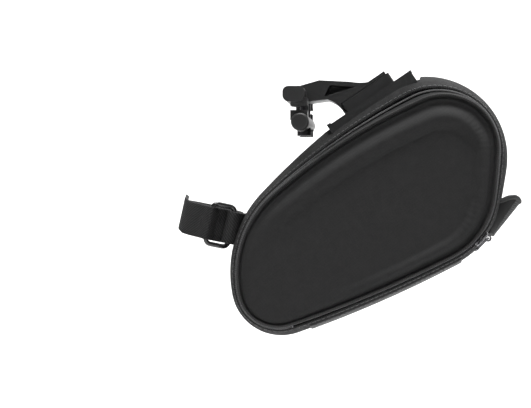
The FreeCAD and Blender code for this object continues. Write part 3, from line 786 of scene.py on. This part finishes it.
for name, node, body, side, shift in (("lid_zip_coil", "lid_zip_chain", "lid", -1, 0.0),
                                      ("body_zip_coil", "body_zip_chain", "bag", 1, 0.5)):
    half = coil(name, side, shift)
    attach(half, body)
    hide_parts(node)
    edges = sorted((ZIP_Y + side * 0.35, ZIP_Y + side * 2.7))
    strip = tape(name.replace("coil", "tape"), *edges)
    if side < 0:
        strip.data.flip_normals()
    thicken(strip, 0.5)
    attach(strip, body)

# ---- Hinge strip -----------------------------------------------------------------
# Where the zip ends, under the rear and at the nose, a doubled strip of the gusset cloth
# is left whole along the belly. It is the hinge that the lid drops open on.
HINGE_LOW = -33.8
HINGE_HIGH = -28.2
hinge_length = np.arange(zip_length + 0.5, zip_line.walk[-1] - 0.4, 1.2)
place, out = zip_line.at(hinge_length)
grid, uvs = [], []
for y in np.linspace(HINGE_LOW, HINGE_HIGH, 15):
    furrow = 0.35 + 0.45 * hill(y, ZIP_Y, 1.0)
    grid.append(across_at(place - out * furrow, y))
    uvs.append(np.stack([hinge_length, np.full(len(hinge_length), y)], -1))
hinge = skin("hinge_cloth", np.array(grid), np.array(uvs), False, gusset_finish)
hinge.data.flip_normals()
thicken(hinge, 1.2)
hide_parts("hinge_strip")
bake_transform(hinge)

# ---- Bottom guard ----------------------------------------------------------------
# A patch of rubber-faced cloth is sewn over the belly, where spray and grit from the wheel
# hit. Its face is embossed in small bars and its edge is bound down by one row of stitches.
GUARD_Y = (-24.0, 26.0)
GUARD_X = (7.0, 95.4)
GUARD_LIFT = 0.9
GUARD_EASE = 0.3        # rounding of the patch's edge


def guard_rubber():
    material, place, root = start_finish("guard_rubber")
    along, across, _ = axes_of(root.node("ShaderNodeUVMap", {"uv_map": "cloth"}))
    bars = ((along * (2 * math.pi / 0.0030)).sine() * 2.5).step(-0.6, 0.9)
    pores = grain(place, 0.0010, 3.0, 0.7)
    dust = grain(place, 0.011, 4.0, 0.6).step(0.5, 0.8)
    colour = (pores * 0.6 + dust * 0.5).dye((0.008, 0.008, 0.008), (0.022, 0.022, 0.0215))
    return close_finish(material, root, colour, 0.6 + dust * 0.2, bars * 0.7 + pores * 0.5, 0.0004, 0.6,
                        specular_ior_level=0.25)


guard_finish = guard_rubber()
GUARD_COLUMNS = 110
grid, uvs = [], []
low, high = GUARD_Y
guard_rows = [low, low + 0.02, low + 0.5, *np.linspace(low + 2, high - 2, 17), high - 0.5, high - 0.02, high]
under = slice(ARC_STARTS[5] + 30, STEPS_ROUND)
for index, y in enumerate(guard_rows):
    line = Outline(crown(y))
    xs, walks = line.points[under, 0][::-1], line.walk[:-1][under][::-1]
    ends = np.interp(GUARD_X, xs, walks)
    share = np.concatenate([[0, 0.0004, 0.006], np.linspace(0.02, 0.98, GUARD_COLUMNS), [0.994, 0.9996, 1]])
    length = ends[1] + (ends[0] - ends[1]) * share
    lift = np.full(len(length), GUARD_LIFT)
    lift[[0, -1]] = -GUARD_EASE
    lift[[1, -2]] = GUARD_LIFT - GUARD_EASE
    if index in (0, len(guard_rows) - 1):
        lift[:] = -GUARD_EASE
    elif index in (1, len(guard_rows) - 2):
        lift = np.minimum(lift, GUARD_LIFT - GUARD_EASE)
    place, out = line.at(length)
    grid.append(across_at(place + out * lift[:, None], y))
    uvs.append(np.stack([length, np.full(len(length), y)], -1))
guard = skin("guard_patch", np.array(grid), np.array(uvs), False, guard_finish)
guard.data.flip_normals()
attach(guard, "bag")
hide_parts("bottom_guard")
for name, index in (("guard_stitches_left", 3), ("guard_stitches_right", len(guard_rows) - 4)):
    knots = grid[index][3:-3]
    fine = np.linspace(0, len(knots) - 1, 8 * len(knots))
    row_points = np.column_stack([np.interp(fine, np.arange(len(knots)), knots[:, i]) for i in range(3)])
    stitch_row(name, row_points, np.tile([0.15, 0.0, -1.0], (len(row_points), 1)))


# ---- Mounting base and latch -----------------------------------------------------
# The base is one moulding of black acetal with a dovetail channel, screwed through the gusset
# into a backing plate. A sprung latch on a steel pin closes the rear end of the channel.
def satin_plastic(name, dark, light, rough, grain_size=0.00045, texture=0.35):
    material, place, root = start_finish(name)
    spark = grain(place, grain_size, 3.0, 0.7)
    cloud = grain(place, 0.012, 3.0, 0.6)
    edge = root.node("ShaderNodeNewGeometry", output=7).step(0.51, 0.60)
    scuff = grain(place, 0.0016, 4.0, 0.8).step(0.45, 0.75) * edge
    colour = (cloud * 0.35 + spark * 0.25 + scuff * 0.6).dye(dark, light)
    return close_finish(material, root, colour, rough + cloud * 0.1 + scuff * 0.15, spark, 0.00006, texture,
                        specular_ior_level=0.4)


EDGE_ANGLE = 28.0       # an edge that turns more than this is rounded


def bevelled(node, name, body, finish, width, segments=3):
    """The moulded piece itself: a copy of the plain solid with every hard edge rounded."""
    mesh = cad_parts[node].data.copy()
    mesh.name = name
    mesh.materials.clear()
    mesh.materials.append(finish)
    work = bmesh.new()
    work.from_mesh(mesh)
    bmesh.ops.remove_doubles(work, verts=work.verts, dist=1e-6)
    bmesh.ops.dissolve_limit(work, angle_limit=math.radians(1.0), verts=work.verts, edges=work.edges)
    work.to_mesh(mesh)
    work.free()
    mesh.polygons.foreach_set("use_smooth", [True] * len(mesh.polygons))
    made = bpy.data.objects.new(name, mesh)
    bpy.context.scene.collection.objects.link(made)
    edge = made.modifiers.new("edge", "BEVEL")
    edge.width = width * MM
    edge.segments = segments
    edge.limit_method = "ANGLE"
    edge.angle_limit = math.radians(EDGE_ANGLE)
    edge.harden_normals = True
    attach(made, body)
    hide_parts(node)


base_finish = satin_plastic("base_acetal", (0.008, 0.008, 0.0082), (0.026, 0.026, 0.027), 0.36)
bevelled("mount_base", "moulded_base", "bag", base_finish, 0.5)
bevelled("release_latch", "moulded_latch", "latch", base_finish, 0.4)


# ---- Screws, pin, nuts and backing plate -----------------------------------------
# Bought-in hardware: blackened socket screws, a plain steel pin, turned brass inserts in the
# bracket, and a sheet of polypropylene that spreads the load behind the gusset.
def turned_metal(name, dark, light, rough):
    material, place, root = start_finish(name)
    brushed = grain(place, 0.0004, 2.0, 0.6)
    worn = grain(place, 0.003, 4.0, 0.7).step(0.45, 0.8)
    colour = (brushed * 0.5 + worn * 0.5).dye(dark, light)
    return close_finish(material, root, colour, rough + worn * 0.12, brushed, 0.00003, 0.4, metallic=1.0)


screw_finish = turned_metal("blackened_steel", (0.030, 0.030, 0.032), (0.10, 0.10, 0.105), 0.34)
pin_finish = turned_metal("pin_steel", (0.35, 0.35, 0.36), (0.55, 0.55, 0.56), 0.28)
brass_finish = turned_metal("turned_brass", (0.45, 0.31, 0.11), (0.72, 0.53, 0.22), 0.30)
plate_finish = satin_plastic("backing_sheet", (0.020, 0.020, 0.021), (0.050, 0.050, 0.052), 0.55)
HARDWARE = {
    "base_screws": screw_finish, "clamp_bolts": screw_finish, "latch_pin": pin_finish,
    "nut_inserts": brass_finish, "backing_plate": plate_finish, "zip_end_stops": pin_finish,
}
for node, finish in HARDWARE.items():
    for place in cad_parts[node].material_slots:
        place.material = finish

# ---- Rail bracket and clamp bar --------------------------------------------------
# Two mouldings in glass-filled nylon grip the saddle rails. The upper one carries the tongue
# that the base slides on; two bolts pull the lower bar up against the rails.
nylon_dark, nylon_light = (0.010, 0.010, 0.0102), (0.034, 0.034, 0.0345)
bracket_finish = satin_plastic("glass_nylon", nylon_dark, nylon_light, 0.38, 0.0006, 0.5)
bevelled("bracket_bridge", "moulded_bracket", "bracket", bracket_finish, 0.6)
bevelled("clamp_bar", "moulded_clamp_bar", "clamp", bracket_finish, 0.5)


# ---- Seat post strap -------------------------------------------------------------
# Twenty millimetre nylon webbing goes round the post, through a flat ring and back on itself,
# where it holds by hook and loop. A short tab sewn to the case carries the ring.
def twill_webbing():
    material, place, root = start_finish("nylon_webbing")
    along, across, _ = axes_of(root.node("ShaderNodeUVMap", {"uv_map": "cloth"}))
    wale = ((along + across) * (2 * math.pi / 0.0018)).sine() * 0.5 + 0.5
    yarn = ((across + along * 0.2) * (2 * math.pi / 0.0009)).sine() * 0.5 + 0.5
    nap = grain(place, 0.0007)
    height = wale * 0.7 + yarn * 0.3 + nap * 0.25
    shade = (wale * 0.45 + yarn * 0.2 + nap * 0.35).step(0.15, 0.95)
    colour = shade.dye((0.008, 0.008, 0.0082), (0.032, 0.032, 0.0325))
    return close_finish(material, root, colour, 0.70 + nap * 0.12, height, 0.0003, 0.8,
                        specular_ior_level=0.25)


webbing_finish = twill_webbing()


def ribbon(name, path, outs, across, width, thick, finish, closed=False):
    """Flat webbing: path is its middle, outs point off its face and across lies along its width."""
    half, corner = width / 2, thick / 2
    flat = np.linspace(-half + corner, half - corner, 13)
    turns = np.radians([60, 30, 0, -30, -60])
    section = [(w, corner) for w in flat]
    section += [(half - corner + corner * math.cos(t), corner * math.sin(t)) for t in turns]
    section += [(w, -corner) for w in flat[::-1]]
    section += [(-half + corner - corner * math.cos(t), -corner * math.sin(t)) for t in turns]
    lengths = walked(path)
    rows = [path + outs * off + across * w for w, off in section]
    grid = np.transpose(np.array(rows), (1, 0, 2))
    if closed:
        grid = np.concatenate([grid, grid[:1]])
        lengths = np.append(lengths, lengths[-1] + np.linalg.norm(path[0] - path[-1]))
    spread = [w for w, off in section] + [section[0][0]]
    uv = np.stack(np.broadcast_arrays(lengths[:, None], np.array(spread)[None, :]), -1)
    return close_up(skin(name, grid, uv, True, finish), caps=not closed)


def round_post(degrees, radius):
    """Points and outward directions round the post; 0 faces the bag and -90 is the left side."""
    turn = np.radians(degrees)
    outs = np.cos(turn)[:, None] * toward_bag + np.sin(turn)[:, None] * TO_RIGHT
    return POST_AT + outs * np.asarray(radius).reshape(-1, 1), outs


STRAP_MIDDLE = POST_RADIUS + WEBBING_THICK / 2
path, outs = round_post(np.arange(0.0, 360.0, 3.0), STRAP_MIDDLE)
strap = ribbon("strap_webbing", path, outs, up_post, WEBBING_WIDTH, WEBBING_THICK, webbing_finish, True)
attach(strap, "bag")
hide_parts("seatpost_strap")

TAIL_RISE = 3.0
TAIL_MIDDLE = STRAP_MIDDLE + WEBBING_THICK + 0.35
bends = np.array([*range(-76, -110, -2), *range(-110, -190, -4), -190, -194, -198, -202, -207.0])
TAIL_COURSE = [         # degrees round the post and distance of the webbing's middle from its axis
    (76, 17.6), (80, 18.6), (83, 20.6), (86, 22.1), (89, 22.7), (92, 22.5), (95, 21.5), (98, 20.3),
    (102, 19.2), (108, TAIL_MIDDLE), (190, TAIL_MIDDLE), (198, 20.3), (207, 22.6),
]
path, outs = round_post(bends, np.interp(-bends, *zip(*TAIL_COURSE)))
path = path + up_post * (TAIL_RISE * smooth(-bends, 125.0, 207.0))[:, None]
tail = ribbon("strap_tail_webbing", path, outs, up_post, WEBBING_WIDTH - 0.3, WEBBING_THICK, webbing_finish)
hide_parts("strap_tail")
peel_at, _ = round_post(np.array([-94.0, -104.0]), TAIL_MIDDLE)
tuple(peel_at[0] * MM)
tuple(peel_at[1] * MM)
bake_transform(tail)


def gloss_finish():
    material, place, root = start_finish("gloss_acetal")
    swirl = grain(place, 0.006, 3.0, 0.6)
    nick = grain(place, 0.0009, 3.0, 0.7).step(0.62, 0.75)
    colour = (swirl * 0.5 + nick * 0.5).dye((0.008, 0.008, 0.008), (0.022, 0.022, 0.023))
    return close_finish(material, root, colour, 0.16 + nick * 0.2, swirl, 0.00004, 0.25, coat_weight=0.4,
                        coat_roughness=0.08)


RING_TURN = -68.0
RING_WIDTH = 17.0
RING_HEIGHT = 27.0
RING_ROD = 1.45
RING_CORNER = 3.4
RING_AT = 19.2          # ring's middle, from the post's axis
ring_out = math.cos(math.radians(RING_TURN)) * toward_bag + math.sin(math.radians(RING_TURN)) * TO_RIGHT
ring_side = np.cross(up_post, ring_out)
ring_path = []
half_w = RING_WIDTH / 2 - RING_ROD - RING_CORNER
half_h = RING_HEIGHT / 2 - RING_ROD - RING_CORNER
for sign_w, sign_h, start in ((1, 1, 0), (-1, 1, 90), (-1, -1, 180), (1, -1, 270)):
    for turn in np.radians(np.arange(start, start + 91, 9)):
        across_ring = sign_w * half_w + RING_CORNER * math.cos(turn)
        up_ring = sign_h * half_h + RING_CORNER * math.sin(turn)
        ring_path.append(POST_AT + ring_out * RING_AT + ring_side * across_ring + up_post * up_ring)
ring_outs = np.tile(ring_out, (len(ring_path), 1))
ring = tube("ring_moulding", np.array(ring_path), ring_outs, RING_ROD, gloss_finish(), 16)
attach(ring, "bag")
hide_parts("strap_ring")

RING_TAB_COURSE = [     # distances from the post's axis, toward the bag and to the right
    (9.9, -15.9), (12.0, -17.2), (14.4, -17.6), (16.4, -16.4),
    (17.4, -14.4), (18.5, -11.6), (20.4, -6.5), (22.5, -4.0),
]
ANCHOR_COURSE = [(18.3, -3.0), (18.6, 0.0), (18.5, 4.0), (18.2, 9.0), (17.9, 13.0)]
for name, node, course in (("ring_tab_webbing", "ring_keeper", RING_TAB_COURSE),
                           ("strap_anchor_webbing", "strap_anchor", ANCHOR_COURSE)):
    knots = np.array(course)
    fine = np.linspace(0, len(knots) - 1, 30)
    local = np.column_stack([np.interp(fine, np.arange(len(knots)), knots[:, i]) for i in (0, 1)])
    path = POST_AT + local[:, :1] * toward_bag + local[:, 1:] * TO_RIGHT
    outs = np.cross(up_post, running(path))
    tab = ribbon(name, path, outs, up_post, WEBBING_WIDTH - 0.6, WEBBING_THICK, webbing_finish)
    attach(tab, "bag")
    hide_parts(node)

# ---- Light loop ------------------------------------------------------------------
# A stiff loop of rubberised webbing is sewn flat to the tail at both ends and bows out
# between them, so that the clip of a rear light hooks over it. Its top edge is rolled.
LOOP_AT = np.array([112.6, 0.0, -75.0])
LOOP_TURN = math.radians(17.6)
LOOP_WIDTH = 24.0
LOOP_HALF = 19.0
LOOP_FOOT = -2.6
LOOP_RISE = (1.8, 11.4)
LOOP_THICK = 1.7
LOOP_START = 0.6        # lowest edge, above the loop's own origin
LOOP_STEPS = 41
LOOP_TOP = [(0.0, 24.3), (5.0, 25.2), (9.0, 26.2), (13.5, 26.2), (16.0, 23.4), (19.0, 18.8)]
loop_out = np.array([math.cos(LOOP_TURN), 0.0, -math.sin(LOOP_TURN)])
loop_up = np.array([math.sin(LOOP_TURN), 0.0, math.cos(LOOP_TURN)])


def loop_cloth():
    """Dark webbing whose middle, between the two sewn wings, is painted paler and ribbed: a painted
    highlight where the bow turns toward the tail.
    """
    material, place, root = start_finish("loop_webbing")
    along, across, _ = axes_of(root.node("ShaderNodeUVMap", {"uv_map": "cloth"}))
    # painted highlight: the band between the wings is dyed paler to stand for light on the bow's turned face
    painted_highlight_band = 1 - abs(across).step(0.0098, 0.0110)
    rib = (along * (2 * math.pi / 0.0013)).sine() * 0.5 + 0.5
    nap = grain(place, 0.0008)
    shade = painted_highlight_band * (rib * 0.4 + nap * 0.6 + 0.1)
    # the paler end of this dye is the painted highlight on the middle band
    colour = shade.step(0.0, 1.0).dye((0.0045, 0.0045, 0.0047), (0.060, 0.060, 0.061))
    return close_finish(material, root, colour, 0.72 + nap * 0.1, rib * painted_highlight_band + nap * 0.4, 0.0003, 0.8,
                        specular_ior_level=0.2)


loop_finish = loop_cloth()


def loop_line(height, shrink=0.9):
    """The bow across the bag at one height, as an arc from foot to foot."""
    rise = LOOP_RISE[0] + (LOOP_RISE[1] - LOOP_RISE[0]) * height / LOOP_WIDTH - shrink
    sag = rise - LOOP_FOOT
    half = LOOP_HALF - shrink
    radius = (half * half + sag * sag) / (2 * sag)
    reach = math.asin(half / radius) if sag < half else math.pi - math.asin(half / radius)
    turn = np.linspace(-reach, reach, LOOP_STEPS)
    return rise - radius + radius * np.cos(turn), radius * np.sin(turn)


def loop_top(y):
    """Height of the top edge: domed over the middle and falling to the sewn ends."""
    height = np.interp(abs(y), *zip(*LOOP_TOP))
    return np.convolve(np.pad(height, 2, "edge"), np.ones(5) / 5, "valid")


def on_loop(off, y, height):
    return LOOP_AT + off[:, None] * loop_out + y[:, None] * TO_RIGHT + height[:, None] * loop_up


grid, uvs = [], []
for share in np.linspace(0.0, 1.0, 18):
    off, y = loop_line(LOOP_START + share * (LOOP_WIDTH - 1.0))
    height = LOOP_START + share * (loop_top(y) - LOOP_START)
    grid.append(on_loop(off, y, height))
    uvs.append(np.stack([height, y], -1))
band_cloth = skin("light_loop_band", np.array(grid), np.array(uvs), False, loop_finish)
thicken(band_cloth, LOOP_THICK, 0.0)
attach(band_cloth, "bag")
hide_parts("light_loop")
for name, height, radius in (("light_loop_top_roll", LOOP_WIDTH - LOOP_START, 1.45),
                             ("light_loop_bottom_roll", 1.4, 1.1)):
    off, y = loop_line(height)
    rise = loop_top(y) if height > LOOP_WIDTH / 2 else np.full(LOOP_STEPS, height)
    path = on_loop(off, y, rise)
    across = np.cross(running(path), loop_up)
    rows = []
    for bend in np.linspace(0, 2 * math.pi, 13)[:-1]:
        rows.append(path + radius * (math.cos(bend) * loop_up + math.sin(bend) * across))
    turns = np.linspace(0, 2 * math.pi * radius, 13)
    uv = np.stack(np.broadcast_arrays(np.arange(LOOP_STEPS)[:, None] * 1.0, turns[None, :]), -1)
    roll = skin(name, np.transpose(np.array(rows), (1, 0, 2)), uv, True, piping_finish)
    close_up(roll, weld=False)
    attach(roll, "bag")

# ---- Zip slider and pull ---------------------------------------------------------
# The slider is cast zinc with a bright plated finish, and a pressed steel pull hangs
# from its bail.
slider_finish = turned_metal("plated_zinc", (0.20, 0.20, 0.21), (0.42, 0.42, 0.43), 0.24)
bevelled("zip_slider", "cast_slider", "slider", slider_finish, 0.35)
bevelled("zip_pull", "pressed_pull", "pull", slider_finish, 0.18, 2)


# ---- Inner pocket ----------------------------------------------------------------
# Inside the fixed side a panel of open knit mesh is sewn in round the bottom and held
# flat by an elastic hem, for a tyre lever or a multitool.
def knit_mesh():
    material, place, root = start_finish("knit_mesh")
    x, _, z = axes_of(place)
    rate = 2 * math.pi / 0.0026
    holes = ((x * rate).sine() * (z * rate).sine()) * 0.5 + 0.5
    yarn = grain(place, 0.0006)
    colour = (holes * 0.6 + yarn * 0.4).dye((0.020, 0.020, 0.021), (0.075, 0.075, 0.077))
    return close_finish(material, root, colour, 0.8, holes + yarn * 0.3, 0.0005, 0.9, sheen_weight=0.3)


POCKET_TOP = -45.0
POCKET_Y = 31.2
POCKET_INSET = 4.0
POCKET_COLUMNS = 90
HEM_WIDTH = 7.0
HEM_DROP = 3.0
pocket_line = Outline(1.0, POCKET_INSET)
nose_x, tail_x = pocket_line.points[:, 0].argmin(), pocket_line.points[:, 0].argmax()
upper = pocket_line.points[nose_x:tail_x + 1]
lower = np.vstack([pocket_line.points[tail_x:], pocket_line.points[:nose_x + 1]])[::-1]
columns = np.linspace(upper[0, 0] + 0.3, upper[-1, 0] - 0.3, POCKET_COLUMNS)
low_z = np.interp(columns, lower[:, 0], lower[:, 1])
high_z = np.minimum(np.interp(columns, upper[:, 0], upper[:, 1]), POCKET_TOP)
rows = []
for share in np.linspace(0, 1, 30):
    z = low_z + (high_z - low_z) * share
    slack = 0.9 * math.sin(math.pi * share) * np.sin(np.linspace(0, math.pi, POCKET_COLUMNS))
    rows.append(np.column_stack([columns, POCKET_Y - slack, z]))
pocket = skin("pocket_mesh", np.array(rows), None, False, knit_mesh())
thicken(pocket, 0.5, 0.0)
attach(pocket, "bag")
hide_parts("inner_pocket")
level = high_z > POCKET_TOP - 0.01
hem_path = across_at(np.column_stack([columns[level], high_z[level] - HEM_DROP]), POCKET_Y)
hem_outs = np.tile(-TO_RIGHT, (len(hem_path), 1))
hem = ribbon("pocket_elastic", hem_path, hem_outs, np.array([0.0, 0.0, 1.0]), HEM_WIDTH, 1.2, webbing_finish)
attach(hem, "bag")

bpy.context.view_layer.update()
